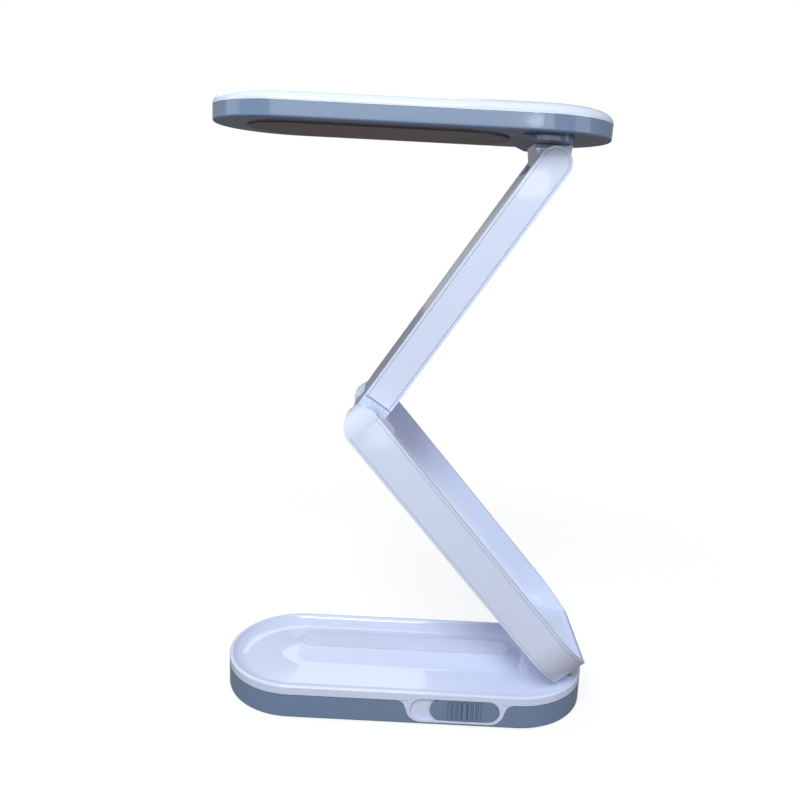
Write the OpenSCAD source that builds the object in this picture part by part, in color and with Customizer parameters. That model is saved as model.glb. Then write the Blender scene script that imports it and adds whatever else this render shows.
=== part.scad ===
// Folding desk lamp: a charging base, a channel-shaped lower arm, a slimmer upper arm that
// nests in it, and a flat lamp head. Millimetres, Z up, X to the right along the base, Y to
// the back. The origin is the centre of the rubber pad that the lamp stands on.

/* [Base] */
// Length of the base over its round ends
base_length = 197; // [190:1:220]
// Width of the base
base_width = 78; // [77:1:84]
// Height of the joint between the grey and the white shell
seam_height = 13.7; // [13:0.1:15]
// Height of the rim of the white shell
rim_height = 18.6; // [17.8:0.1:19.2]
// Width of the rim beside the dish
rim_width = 1.8; // [1.4:0.1:2.4]
// Height of the floor of the dish
dish_height = 14; // [13.6:0.1:15]
// Width of the curved edge of the dish
dish_edge = 9; // [6:0.5:11]
// Length of the flat ledge under the lower arm's hinge
ledge_length = 16; // [15:0.5:22]
// Length of the slope from the dish up to the ledge
ledge_slope = 22; // [14:1:30]
// Wall of the two base shells
base_wall = 2.2; // [1.8:0.1:2.6]
// Floor of the grey shell
base_floor = 2.2; // [1.8:0.1:2.6]
// Rounding of the grey shell's bottom edge
base_round = 1.2; // [0.8:0.1:2]
// Height of the raised bar in the dish
bar_height = 18.3; // [16:0.1:18.4]
// Length of the raised bar
bar_length = 122; // [90:1:124]
// Width of the raised bar
bar_width = 17.6; // [12:0.2:18]
// Distance of the raised bar behind the middle of the base
bar_offset = 10; // [4:0.5:10]
// Width of the soft foot around the raised bar
bar_foot = 12; // [6:0.5:12.5]
// Depth of the fine grooves beside the visible joints
groove_depth = 0.3; // [0.2:0.05:0.4]

/* [Pad and screws] */
// Thickness of the rubber pad
pad_thickness = 1.6; // [1.2:0.1:2]
// Height that the pad stands proud of the base
pad_proud = 0.5; // [0.4:0.1:1.1]
// Length of the rubber pad
pad_length = 170; // [150:1:180]
// Width of the rubber pad
pad_width = 44; // [30:1:46]
// Diameter of the base screws' shafts
screw_size = 2.5; // [2:0.1:3]
// Diameter of the base screws' heads
screw_head = 4.6; // [4:0.1:5.4]
// Diameter of the shafts of the screws in the arms and head
small_screw_size = 1.8; // [1.4:0.1:2]
// Diameter of the heads of the screws in the arms and head
small_screw_head = 3.4; // [3:0.1:3.6]

/* [Switch] */
// Middle of the switch opening along the base
switch_place = 27.5; // [20:0.5:32]
// Length of the slider
slider_length = 36; // [30:1:38]
// Height of the slider
slider_height = 11.6; // [10:0.1:12]
// Travel of the slider
slider_travel = 10; // [6:0.5:10]
// Number of grip ribs on the slider
rib_count = 7; // [5:2:9]
// Distance between grip ribs
rib_spacing = 2.6; // [2.2:0.1:3]

/* [Power] */
// Length of the flat cell
cell_length = 60; // [40:1:64]
// Width of the flat cell
cell_width = 35; // [25:1:40]
// Thickness of the flat cell
cell_thickness = 7.5; // [5:0.1:7.8]
// Length of the control board
board_length = 56; // [46:1:60]
// Width of the control board
board_width = 20; // [18:0.5:24]
// Thickness of both circuit boards
board_thickness = 1.6; // [1:0.1:1.8]

/* [Hinges] */
// Distance of the base hinge from the right end of the base
base_hinge_inset = 11.5; // [11:0.1:12.5]
// Gap between the folded lower arm and the rim of the base
arm_gap = 0.4; // [0.3:0.1:1.5]
// Radius of the base hinge pin
base_pin_radius = 2; // [1.5:0.1:2]
// Radius of the middle and head hinge pins
pin_radius = 2.5; // [2:0.1:3]
// Radial clearance of every hinge pin
pin_clearance = 0.05; // [0.02:0.01:0.1]
// Thickness of the friction washers
washer_thickness = 0.7; // [0.5:0.1:0.8]
// Radius of the friction washers
washer_radius = 5; // [4.8:0.1:6]
// Width of each lug that carries the lower arm
lug_width = 4.5; // [3:0.1:5]
// Distance from the middle of the lamp to each lug
lug_place = 11; // [10:0.5:12]

/* [Lower arm] */
// Distance between the hinges of the lower arm
lower_length = 171.6; // [170:0.1:180]
// Width of the lower arm
lower_width = 77; // [75:0.5:77]
// Thickness of the lower arm
lower_thickness = 18.8; // [18.6:0.1:20]
// Wall of the channel at its rim
channel_wall = 2.3; // [2:0.1:3]
// Fillet between the channel's walls and floor
channel_fillet = 10.5; // [6:0.5:10.5]
// Lip between the channel and the nose over the base hinge
channel_lip = 1.6; // [1.2:0.1:3]
// Height of the back cover's edge
back_edge = 3.8; // [3:0.1:4.4]
// Corner radius of the lower arm at the base
lower_base_corner = 34; // [30:0.5:35]
// Corner radius of the ears at the middle hinge
lower_ear_corner = 11; // [6:0.5:11.5]
// Incline of the lower arm as photographed
lower_incline = 49.45; // [30:0.05:70]

/* [Upper arm] */
// Distance between the hinges of the upper arm
upper_length = 151.5; // [140:0.5:151.5]
// Width of the upper arm
upper_width = 48; // [44:1:48]
// Thickness of the upper arm
upper_thickness = 15.6; // [15:0.1:15.8]
// Distance of the side trims from the middle hinge
trim_start = 11.5; // [9:0.1:16]
// Thickness of the side trims
trim_thickness = 1.6; // [1.2:0.1:2]
// Depth of the top and bottom flanges beside the side trims
flange_depth = 1.3; // [1.2:0.1:3]
// Wall of the upper arm's inner box
upper_wall = 2; // [1.5:0.1:2.5]
// Incline of the upper arm as photographed
upper_incline = 56.1; // [40:0.1:75]

/* [Head] */
// Length of the lamp head
head_length = 192.3; // [185:0.1:200]
// Width of the lamp head
head_width = 76; // [74:1:78]
// Height of the grey band around the head
band_height = 7; // [6.5:0.1:9]
// Height of the white cover on the head
cover_height = 5.8; // [5:0.1:8]
// Width of the cover's bevelled shoulder
cover_shoulder = 8.5; // [4:0.5:10]
// Wall of the head
head_wall = 1.8; // [1.4:0.1:2.2]
// Distance from the middle of the head to its hinge
head_offset = 67.4; // [66:0.1:70]
// Gap between the folded head and the lower arm
head_gap = 2.9; // [2.4:0.1:4]
// Tilt of the head as photographed
head_tilt = 0.9; // [0:0.1:10]
// Depth of the boss under the head
boss_depth = 2.8; // [2:0.1:3.2]
// Width of the hinge block under the head
block_width = 27; // [20:1:27]
// Length of the hinge block along the head
block_length = 18; // [15:0.5:18]
// Length of the diffuser
diffuser_length = 127; // [110:1:129]
// Width of the diffuser
diffuser_width = 50; // [40:1:52]
// Distance of the diffuser from the left end of the head
diffuser_margin = 16.7; // [13:0.1:17]
// Height that the diffuser stands proud
diffuser_proud = 0.8; // [0.4:0.1:1]
// Number of light-emitting diodes along the head
led_columns = 10; // [6:1:12]
// Number of rows of diodes
led_rows = 3; // [2:1:3]
// Side of each square diode
led_size = 3.5; // [2.8:0.1:5]

/* [Hidden] */
$fn = 96;

// Small distances
fit_gap = 0.3;
touch = 0.01;
past = 1;
join_gap = 0.15;
groove_width = 0.3;
screw_head_height = 1.2;

// Colours
white_colour = [0.88, 0.9, 0.97];
grey_colour = [0.42, 0.5, 0.58];
steel_colour = [0.7, 0.71, 0.73];
dark_colour = [0.16, 0.16, 0.18];
green_colour = [0.1, 0.36, 0.22];

// Base
base_radius = base_width / 2;
base_span = base_length - base_width;
shell_bottom = pad_proud;
floor_top = shell_bottom + base_floor;
inner_chamfer = 2;
plate_skin = 1.8;
plate_bottom = dish_height - plate_skin;
dish_radius = base_radius - rim_width;
dish_arc = 80;
plug_radius = base_radius - base_wall - fit_gap;
ledge_start = base_length / 2 - ledge_length;
screw_x = base_span / 2;
screw_inset = 11;
screw_y = base_radius - screw_inset;
post_radius = 3.2;
rim_round = 0.9;
bar_edge = 0.8;
bar_rise = 1.6;
bar_border = 1.3;
bar_hollow = 2;
screw_length = 10.6;
screw_points = [for (sx = [-1, 1]) for (sy = [-1, 1]) [sx * screw_x, sy * screw_y]];

// Switch
slot_recess = 1.4;
switch_height = 9.2;
opening_length = slider_length + slider_travel + 2 * fit_gap;
opening_height = slider_height + 2 * fit_gap;
tongue_border = 2.4;
tongue_length = opening_length + 2 * tongue_border;
tongue_bottom = 1.9;
tongue_corner = 8;
tongue_flare = 4;
switch_wall = 1.6;
tongue_wall = slot_recess + switch_wall;
slider_place = switch_place + slider_travel / 2;
slider_thickness = 1.1;
slider_front = base_radius - slot_recess + slider_thickness;
stem_length = 4;
stem_height = 3;
rib_width = 1.1;
rib_height = 0.7;
rib_margin = 0.6;
middle_rib_extra = 0.3;
catch_length = 9;
catch_height = 5;
catch_depth = 0.8;
lever_length = 2;
lever_reach = 3;
switch_body = [15, 6, 5.4];

// Power
board_height = switch_height - switch_body.z / 2 - board_thickness;
lever_grip = 1.5;
board_front = base_radius - tongue_wall - catch_depth - fit_gap - lever_reach + lever_grip;
board_gap = 3.5;
board_left = screw_x - post_radius - 2 * board_gap - board_length;
cell_shift = 2;
cell_place = [board_left - board_gap - cell_length, -cell_width / 2 - cell_shift];
socket_size = [7.6, 6, 2.8];
socket_place = 36;
socket_height = 8;
board_posts = [for (x = [0.1, 0.9]) for (y = [0.2, 0.85])
    [board_left + board_length * x, -board_front + board_width * y]];
board_post_radius = 2.2;
coil_side = 6;
coil_height = 1.3;
plug_side = 5;
plug_height = 4.2;
can_radius = 2.4;
can_height = 4.6;
socket_shell = 0.6;

// Hinges
lower_half = lower_thickness / 2;
base_hinge = [base_length / 2 - base_hinge_inset, 0, rim_height + arm_gap + lower_half];
lug_radius = 4.2;
lug_thickness = 2 * lug_radius;
lug_outer = lug_place + lug_width;
washer_gap = washer_thickness + 2 * join_gap;
base_pin_reach = 21;
bracket_side = 16;
bracket_reach = 9;
bracket_skin = 2;
bracket_plate = 2.4;
bracket_top = rim_height - bracket_skin;
bracket_bottom = bracket_top - bracket_plate;
bracket_post_radius = 2.6;
bracket_post_y = 10.7;
bore_end = 0.2;
hinge_wall = 2;

// Lower arm
lower_side = lower_width / 2;
channel_side = lower_side - channel_wall;
channel_slope_skin = 1.1;
upper_half = upper_thickness / 2;
upper_side = upper_width / 2;
channel_floor = -upper_half - fit_gap;
channel_skin = (lower_half + channel_floor) / 2;
channel_rise = (lug_radius + fit_gap + channel_slope_skin) * sqrt(2);
tray_end = -lug_radius - fit_gap - hinge_wall;
ear_gap = 0.6;
ear_face = upper_side + ear_gap;
ear_clearance = 0.5;
ear_depth = 4;
ear_start = -lower_length + upper_half + ear_clearance + ear_depth;
rim_band = 1.3;
floor_end = -lower_length;
back_top = -lower_half + back_edge;
back_wall = 1.8;
lead_radius = 0.8;
pin_cover = 4;
mid_pin_reach = lower_side - pin_cover;
screw_grip = 2;
lower_screw_length = back_edge + screw_grip;
screw_edge = 0.9;
lower_screws = [for (x = [0.2, 0.5, 0.8]) for (y = [-1, 1])
    [-lower_length * x, y * (lower_side - small_screw_head / 2 - screw_edge)]];
lead_inset = 4.1;

// Upper arm
inner_side = upper_side - trim_thickness;
knuckle_boss_side = ear_face - washer_gap;
knuckle_boss_radius = 7;
fork_side = block_width / 2 + washer_gap;
fork_gap = 1.2;
fork_depth = block_length / 2 + fork_gap;
box_wall = 4;
cover_end = upper_length - fork_depth - box_wall;
box_start = trim_start + box_wall;
box_end = cover_end - box_wall;
head_pin_reach = inner_side - trim_thickness;
screw_cover = 0.6;
upper_screw_length = upper_thickness - screw_cover;
lead_place = 3;
screw_post_wall = 1;
upper_screws = [for (x = [0.2, 0.8]) for (y = [-1, 1])
    [upper_length * x, y * (inner_side - upper_wall - small_screw_head / 2)]];

// Head
head_radius = head_width / 2;
head_span = head_length - head_width;
band_bottom = lower_half + head_gap;
band_top = band_bottom + band_height;
cover_top = band_top + cover_height;
border_skin = 1.8;
border_top = band_bottom + border_skin;
diffuser_place = -head_offset - head_length / 2 + diffuser_margin + diffuser_length / 2;
diffuser_flange = 2;
diffuser_skin = 1.2;
led_gap = 1.6;
led_board_bottom = border_top + diffuser_skin + led_gap;
led_board_margin = 4;
led_height = 0.7;
led_pitch = (diffuser_length - diffuser_width / 2) / led_columns;
led_row_margin = 7;
led_row_pitch = (diffuser_width - 2 * led_row_margin) / led_rows;
boss_side = 29;
boss_corner = 9;
boss_left = -16.5;
boss_right = 8;
boss_slope = 8;
boss_step = 0.7;
board_leg_radius = 2;
boss_bottom = band_bottom - boss_depth;
block_radius = 7.8;
tenon_length = 12;
tenon_width = 18;
tenon_rise = 2;
band_round = 1;
shoulder_rise = 0.9;
lip_depth = 2;
lip_wall = 1.2;
head_screw_bite = 6;
head_screw_length = border_skin + head_screw_bite;
head_screw_inset = 7;
head_screw_x = [for (side = [-1, 1]) -head_offset + side * (head_length / 2 - head_screw_inset)];

// Outlines

// Straight bar with round ends, flat
module bar_outline(length, width) {
    square([length - width, width], center = true);
    for (side = [-1, 1]) translate([side * (length - width) / 2, 0]) circle(d = width);
}

// Points of a quarter arc about a centre, from one angle to another
function arc(cx, cy, r, from, to, steps = 8) =
    [for (i = [0 : steps]) let (a = from + (to - from) * i / steps) [cx + r * cos(a), cy + r * sin(a)]];

// Solid whose edge profile runs round a long shape with round ends
module long_solid(span, profile) {
    for (side = [-1, 1]) translate([side * span / 2, 0, 0]) rotate_extrude() polygon(profile);
    rotate([90, 0, 90]) translate([0, 0, -span / 2]) linear_extrude(span) {
        polygon(profile);
        mirror([1, 0]) polygon(profile);
    }
}

// Flat-sided solid with round ends
module long_plate(length, width, bottom, top) {
    translate([0, 0, bottom]) linear_extrude(top - bottom) bar_outline(length, width);
}

// Shape in the XZ plane, drawn through the whole width between two distances
module across(near, far) {
    translate([0, far, 0]) rotate([90, 0, 0]) linear_extrude(far - near) children();
}

// Both sides of the lamp
module both_sides() {
    for (side = [0, 1]) mirror([0, side, 0]) children();
}

// Round pin or bore along Y
module crosswise(radius, near, far) {
    translate([0, far, 0]) rotate([90, 0, 0]) cylinder(r = radius, h = far - near);
}

// Washer along Y around a pin
module washer(pin, radius, near) {
    difference() {
        crosswise(radius, near, near + washer_thickness);
        crosswise(pin + pin_clearance, near - past, near + washer_thickness + past);
    }
}

// Upright screw, its head at the bottom
module screw(shaft, head, length) {
    cylinder(d = head, h = screw_head_height);
    cylinder(d = shaft, h = length);
}

// Hole for a screw: the seat of its head, the way through and the pilot
module screw_hole(shaft, head, length) {
    translate([0, 0, -past]) cylinder(d = head + fit_gap, h = screw_head_height + past);
    cylinder(d = shaft + 2 * pin_clearance, h = length + fit_gap);
}

// Places of the moving bodies
module on_lower_arm() {
    translate(base_hinge) rotate([0, lower_incline, 0]) children();
}

module on_upper_arm() {
    on_lower_arm() translate([-lower_length, 0, 0]) rotate([0, -lower_incline - upper_incline, 0])
        children();
}

module on_head() {
    on_upper_arm() translate([upper_length, 0, 0]) rotate([0, upper_incline + head_tilt, 0]) children();
}

// Base

// Rubber pad that the lamp stands on
module base_pad() {
    color(dark_colour) long_plate(pad_length, pad_width, 0, pad_thickness);
}

// Outside of the base from its bottom to a height
module base_outside(top) {
    long_solid(base_span, concat([[0, shell_bottom]],
        arc(base_radius - base_round, shell_bottom + base_round, base_round, -90, 0),
        [[base_radius, top], [0, top]]));
}

// Outline of the white tongue around the switch, grown by a gap
module tongue_outline(grow) {
    half = tongue_length / 2;
    corner = tongue_corner + grow;
    flare_height = seam_height - tongue_flare;
    translate([-half - grow, tongue_bottom + tongue_corner])
        square([2 * (half + grow), seam_height - tongue_bottom - tongue_corner]);
    translate([-half + tongue_corner, tongue_bottom - grow])
        square([2 * (half - tongue_corner), corner + past]);
    for (side = [-1, 1]) {
        translate([side * (half - tongue_corner), tongue_bottom + tongue_corner]) circle(corner);
        difference() {
            translate([side * (half + tongue_flare / 2), flare_height + tongue_flare / 2])
                square([tongue_flare + past, tongue_flare], center = true);
            translate([side * (half + tongue_flare + past / 2), flare_height]) circle(tongue_flare - grow);
        }
    }
}

// Grey lower shell with the posts that carry what lies inside
module base_bottom_shell() {
    inner = base_radius - base_wall;
    color(grey_colour) {
        difference() {
            base_outside(seam_height);
            long_solid(base_span, [[0, floor_top], [inner - inner_chamfer, floor_top],
                [inner, floor_top + inner_chamfer], [inner, seam_height + past], [0, seam_height + past]]);
            translate([0, 0, -past])
                long_plate(pad_length + 2 * fit_gap, pad_width + 2 * fit_gap, 0, pad_thickness + past);
            across(-base_radius - past, -base_radius + tongue_wall + join_gap)
                translate([switch_place, 0]) tongue_outline(join_gap);
            translate([socket_place, base_radius, socket_height])
                cube([socket_size.x + fit_gap, 2 * socket_size.y, socket_size.z + fit_gap], center = true);
            for (p = screw_points) translate([p.x, p.y, shell_bottom])
                screw_hole(screw_size, screw_head, base_floor);
        }
        for (p = board_posts) translate([p.x, p.y, floor_top - touch])
            cylinder(r = board_post_radius, h = board_height - floor_top + touch);
        both_sides() translate([base_hinge.x, bracket_post_y, floor_top - touch])
            cylinder(r = bracket_post_radius, h = bracket_bottom - floor_top + touch);
        translate([socket_place - socket_size.x / 2, inner - socket_size.y + past, floor_top - touch])
            cube([socket_size.x, socket_size.y, socket_height - socket_size.z / 2 - floor_top + touch]);
    }
}

// Slope from the dish up to the ledge under the arm, which ends inside the rim
module base_ledge() {
    rise = rim_height - dish_height;
    intersection() {
        across(-base_radius, base_radius) polygon(concat([[ledge_start - ledge_slope, plate_bottom]],
            [for (t = [0 : 0.1 : 1]) [ledge_start - ledge_slope * (1 - t),
                dish_height + rise * t * t * (3 - 2 * t)]],
            [[base_length / 2, rim_height], [base_length / 2, plate_bottom]]));
        union() {
            long_plate(base_length - rim_width, base_width - rim_width, seam_height, rim_height);
            long_plate(base_span + 2 * plug_radius, 2 * plug_radius, plate_bottom, rim_height);
        }
    }
}

// White upper shell: rim, dish with its raised bar, ledge under the arm and switch tongue
module base_top_shell() {
    bar_span = bar_length - bar_width;
    bar_radius = bar_width / 2;
    foot_height = bar_height - bar_edge - dish_height;
    color(white_colour) difference() {
        union() {
            difference() {
                long_solid(base_span, concat([[0, plate_bottom], [plug_radius, plate_bottom],
                    [plug_radius, seam_height], [base_radius - groove_depth, seam_height],
                    [base_radius - groove_depth, seam_height + groove_width],
                    [base_radius, seam_height + groove_width]],
                    arc(base_radius - rim_round, rim_height - rim_round, rim_round, 0, 90),
                    [[0, rim_height]]));
                long_solid(base_span, concat([[0, dish_height]],
                    [for (a = [0 : dish_arc / 8 : dish_arc])
                        [dish_radius - dish_edge * (1 - sin(a) / sin(dish_arc)),
                        dish_height + (rim_height - dish_height) * (1 - cos(a)) / (1 - cos(dish_arc))]],
                    [[dish_radius, rim_height + past], [0, rim_height + past]]));
            }
            base_ledge();
            translate([0, bar_offset, 0]) long_solid(bar_span, concat([[0, dish_height - past],
                [bar_radius + bar_foot, dish_height - past]],
                [for (t = [0 : 0.125 : 1]) [bar_radius + bar_foot * (1 - t),
                    dish_height + foot_height * pow(t, bar_rise)]],
                [[bar_radius - bar_edge, bar_height], [0, bar_height]]));
            intersection() {
                across(-base_radius - past, -base_radius + tongue_wall)
                    translate([switch_place, 0]) tongue_outline(0);
                base_outside(seam_height + past);
            }
            for (p = screw_points) translate([p.x, p.y, floor_top])
                cylinder(r = post_radius, h = dish_height - plate_skin / 2 - floor_top);
        }
        translate([0, bar_offset, 0]) {
            long_plate(bar_length - 2 * bar_hollow, bar_width - 2 * bar_hollow,
                plate_bottom - past, bar_height - plate_skin);
            difference() {
                long_plate(bar_length - 2 * bar_border, bar_width - 2 * bar_border,
                    bar_height - groove_depth, bar_height + past);
                long_plate(bar_length - 2 * (bar_border + groove_width), bar_width
                    - 2 * (bar_border + groove_width), bar_height - 2 * groove_depth, bar_height + 2 * past);
            }
        }
        bracket_footprint(fit_gap, plate_bottom - past, bracket_top);
        both_sides() translate([base_hinge.x - lug_radius - fit_gap, lug_place - fit_gap, plate_bottom])
            cube([lug_thickness + 2 * fit_gap, lug_width + 2 * fit_gap, rim_height]);
        across(-base_radius - past, -base_radius + slot_recess)
            translate([switch_place, switch_height]) bar_outline(opening_length, opening_height);
        across(-base_radius, -base_radius + tongue_wall + past) translate([switch_place, switch_height])
            square([stem_length + slider_travel + 2 * fit_gap, stem_height + 2 * fit_gap], center = true);
        for (p = screw_points) translate([p.x, p.y, floor_top - past])
            cylinder(d = screw_size + 2 * pin_clearance, h = screw_length);
    }
}

// Four screws that hold the base shells together
module base_screws() {
    color(steel_colour) for (p = screw_points) translate([p.x, p.y, shell_bottom])
        screw(screw_size, screw_head, screw_length);
}

// Flat rechargeable cell
module battery() {
    color(steel_colour) translate([cell_place.x, cell_place.y, floor_top])
        cube([cell_length, cell_width, cell_thickness]);
}

// Charging and dimming board with its larger parts
module control_board() {
    color(green_colour) {
        translate([board_left, -board_front, board_height])
            cube([board_length, board_width, board_thickness]);
        translate([board_left, -board_front + board_width - coil_side - past,
            board_height + board_thickness - touch]) {
            cube([plug_side, plug_side, plug_height]);
            translate([board_length / 2, 0, 0]) cube([coil_side, coil_side, coil_height]);
            for (share = [0.2, 0.35, 0.8]) translate([board_length * share, coil_side / 2, 0])
                cylinder(r = can_radius, h = can_height);
        }
    }
}

// Body of the slide switch on the board, open in front for its lever
module slide_switch() {
    color(steel_colour) difference() {
        translate([switch_place - switch_body.x / 2, -board_front, switch_height - switch_body.z / 2])
            cube(switch_body);
        translate([switch_place, -board_front, switch_height]) cube([lever_length + slider_travel
            + 2 * fit_gap, 2 * (lever_grip + fit_gap), lever_length + 2 * fit_gap], center = true);
    }
}

// Lever of the switch, pushed by the slider
module switch_lever() {
    color(dark_colour) translate([slider_place - lever_length / 2, -board_front + lever_grip - lever_reach,
        switch_height - lever_length / 2]) cube([lever_length, lever_reach, lever_length]);
}

// Grey slider with grip ribs, its stem and the catch behind the wall
module switch_slider() {
    catch_back = -board_front + lever_grip - lever_reach;
    color(grey_colour) translate([slider_place, 0, switch_height]) {
        across(-slider_front, -base_radius + slot_recess - join_gap)
            bar_outline(slider_length, slider_height);
        for (i = [0 : rib_count - 1]) {
            extra = i == (rib_count - 1) / 2 ? middle_rib_extra : 0;
            translate([(i - (rib_count - 1) / 2) * rib_spacing - rib_width / 2 - extra,
                -slider_front - rib_height - extra, -slider_height / 2 + rib_margin])
                cube([rib_width + 2 * extra, rib_height + extra + touch, slider_height - 2 * rib_margin]);
        }
        across(-slider_front + touch, catch_back) square([stem_length, stem_height], center = true);
        across(catch_back - catch_depth, catch_back) square([catch_length, catch_height], center = true);
    }
}

// Charging socket in the rear wall
module charging_socket() {
    color(steel_colour) translate([socket_place, base_radius - socket_size.y / 2 - join_gap, socket_height])
        difference() {
            cube(socket_size, center = true);
            translate([0, past, 0]) cube([socket_size.x - 2 * socket_shell, socket_size.y,
                socket_size.z - 2 * socket_shell], center = true);
        }
}

// Plan of the hinge bracket's plate under the ledge
module bracket_footprint(grow, bottom, top) {
    intersection() {
        translate([base_hinge.x - bracket_reach - grow, -bracket_side - grow, bottom])
            cube([bracket_reach + lug_radius + 2 * grow, 2 * (bracket_side + grow), top - bottom]);
        translate([base_span / 2, 0, bottom])
            cylinder(r = base_radius - base_wall - 2 * fit_gap + grow, h = top - bottom);
    }
}

// Bracket whose two lugs carry the lower arm
module base_hinge_bracket() {
    color(steel_colour) difference() {
        union() {
            bracket_footprint(0, bracket_bottom, bracket_top);
            both_sides() {
                translate(base_hinge) crosswise(lug_radius, lug_place, lug_outer);
                translate([base_hinge.x - lug_radius, lug_place, bracket_bottom])
                    cube([lug_thickness, lug_width, base_hinge.z - bracket_bottom]);
            }
        }
        translate(base_hinge) crosswise(base_pin_radius + pin_clearance, -lower_width, lower_width);
    }
}

// Pin of the base hinge
module base_hinge_pin() {
    color(steel_colour) translate(base_hinge) crosswise(base_pin_radius, -base_pin_reach, base_pin_reach);
}

// Friction washers on both faces of each lug
module base_hinge_washers() {
    color(dark_colour) translate(base_hinge) both_sides() {
        washer(base_pin_radius, lug_radius, lug_place - join_gap - washer_thickness);
        washer(base_pin_radius, lug_radius, lug_outer + join_gap);
    }
}

// Lower arm

// Rounded plan of the lower arm, drawn in by an inset
module lower_plan(inset) {
    left = -lower_length - lower_half + inset;
    right = lower_half - inset;
    side = lower_side - inset;
    ear = lower_ear_corner - inset;
    foot = lower_base_corner - inset;
    translate([left + ear, -side]) square([right - left - ear - foot, 2 * side]);
    translate([left, -side + ear]) square([ear + past, 2 * (side - ear)]);
    translate([right - foot - past, -side + foot]) square([foot + past, 2 * (side - foot)]);
    for (y = [-1, 1]) {
        translate([left + ear, y * (side - ear)]) circle(ear);
        translate([right - foot, y * (side - foot)]) circle(foot);
    }
}

// Outside of the lower arm between two heights, round at both ends
module lower_block(inset, bottom, top) {
    intersection() {
        across(-lower_width, lower_width) translate([-lower_length / 2, 0])
            bar_outline(lower_length + lower_thickness - 2 * inset, lower_thickness - 2 * inset);
        translate([0, 0, bottom]) linear_extrude(top - bottom) lower_plan(inset);
    }
}

// Half of the channel's section, from its middle to a wall
function channel_section(edge, grow, top) = concat([[0, channel_floor - grow]],
    arc(edge - channel_fillet, channel_floor + channel_fillet, channel_fillet + grow, -90, 0),
    [[edge + grow, top], [0, top]]);

// The channel of the lower arm as a solid, grown by a skin. It slopes up over the base hinge
module channel(grow, left, top) {
    corner = lower_base_corner - channel_wall;
    corner_x = lower_half - lower_base_corner;
    rise = channel_rise - grow * sqrt(2);
    end = grow - channel_lip;
    intersection() {
        union() {
            for (y = [-1, 1]) translate([corner_x, y * (channel_side - corner), 0])
                rotate_extrude() polygon(channel_section(corner, grow, top));
            across(-channel_side + corner, channel_side - corner) translate([corner_x, 0])
                polygon(channel_section(corner, grow, top));
            rotate([90, 0, 90]) translate([0, 0, left]) linear_extrude(corner_x - left) {
                polygon(channel_section(channel_side, grow, top));
                mirror([1, 0]) polygon(channel_section(channel_side, grow, top));
            }
        }
        across(-lower_width, lower_width) polygon([[left - past, -lower_thickness],
            [-lower_thickness - rise, -lower_thickness], [end, end + rise], [end, top + past],
            [left - past, top + past]]);
    }
}

// Fine groove along the sides of the lower arm and round its corners at the base, from a height
module side_groove(bottom) {
    difference() {
        translate([-lower_length, -lower_width, bottom])
            cube([lower_length, 2 * lower_width, groove_width]);
        translate([0, 0, -lower_thickness]) linear_extrude(2 * lower_thickness) lower_plan(groove_depth);
    }
}

// Room in the lower arm for the upper arm's end and for the base lugs
module lower_arm_cuts() {
    translate([-2 * lower_length, -ear_face, -lower_thickness])
        cube([2 * lower_length + floor_end, 2 * ear_face, 2 * lower_thickness]);
    translate([-2 * lower_length, -ear_face, channel_floor])
        cube([2 * lower_length + ear_start + touch, 2 * ear_face, lower_thickness * 2]);
    both_sides() {
        crosswise(lug_radius + fit_gap, lug_place - washer_gap, lug_outer + washer_gap);
        translate([0, lug_place - washer_gap, -lower_thickness])
            cube([lower_thickness, lug_width + 2 * washer_gap, lower_thickness + lug_radius + fit_gap]);
        translate([-lug_radius - fit_gap, lug_place - washer_gap, -lower_thickness])
            cube([lower_thickness, lug_width + 2 * washer_gap, lower_thickness]);
    }
    crosswise(base_pin_radius + pin_clearance, -base_pin_reach - bore_end, base_pin_reach + bore_end);
    translate([-lower_length, 0, 0])
        crosswise(pin_radius + pin_clearance, -mid_pin_reach - bore_end, mid_pin_reach + bore_end);
}

// Channel-shaped body of the lower arm with its two ears
module lower_arm_tub() {
    color(white_colour) on_lower_arm() difference() {
        union() {
            lower_block(0, back_top, lower_thickness);
            difference() {
                channel(channel_skin, floor_end + back_wall + join_gap, lower_half);
                translate([-2 * lower_length, -lower_width, back_top + touch])
                    cube([3 * lower_length, 2 * lower_width, lower_thickness]);
            }
        }
        channel(0, ear_start, lower_thickness);
        side_groove(lower_half - rim_band - groove_width);
        lower_arm_cuts();
        for (p = lower_screws) translate([p.x, p.y, -lower_half])
            screw_hole(small_screw_size, small_screw_head, lower_screw_length);
    }
}

// Back cover of the lower arm, a shallow tray that follows its outline
module lower_arm_back() {
    color(white_colour) on_lower_arm() difference() {
        union() {
            difference() {
                lower_block(0, -lower_thickness, back_top);
                intersection() {
                    translate([0, 0, -lower_half + channel_skin]) linear_extrude(lower_thickness)
                        lower_plan(back_wall);
                    translate([floor_end + back_wall, -lower_width, -lower_thickness])
                        cube([tray_end - floor_end - back_wall, 2 * lower_width, 2 * lower_thickness]);
                }
            }
            for (p = lower_screws) translate([p.x, p.y, -lower_half + channel_skin / 2])
                cylinder(d = small_screw_head, h = back_edge - channel_skin / 2);
        }
        side_groove(-lower_half + rim_band);
        lower_arm_cuts();
        for (p = lower_screws) translate([p.x, p.y, -lower_half])
            screw_hole(small_screw_size, small_screw_head, lower_screw_length);
    }
}

// Screws that hold the back cover
module lower_arm_screws() {
    color(steel_colour) on_lower_arm() for (p = lower_screws) translate([p.x, p.y, -lower_half])
        screw(small_screw_size, small_screw_head, lower_screw_length);
}

// Pair of wires inside the lower arm
module lower_arm_lead() {
    color(dark_colour) on_lower_arm() both_sides()
        translate([ear_start, channel_side - lead_inset, -lower_half + channel_skin + lead_radius + touch])
        rotate([0, 90, 0]) cylinder(r = lead_radius, h = -ear_start - lower_base_corner);
}

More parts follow.
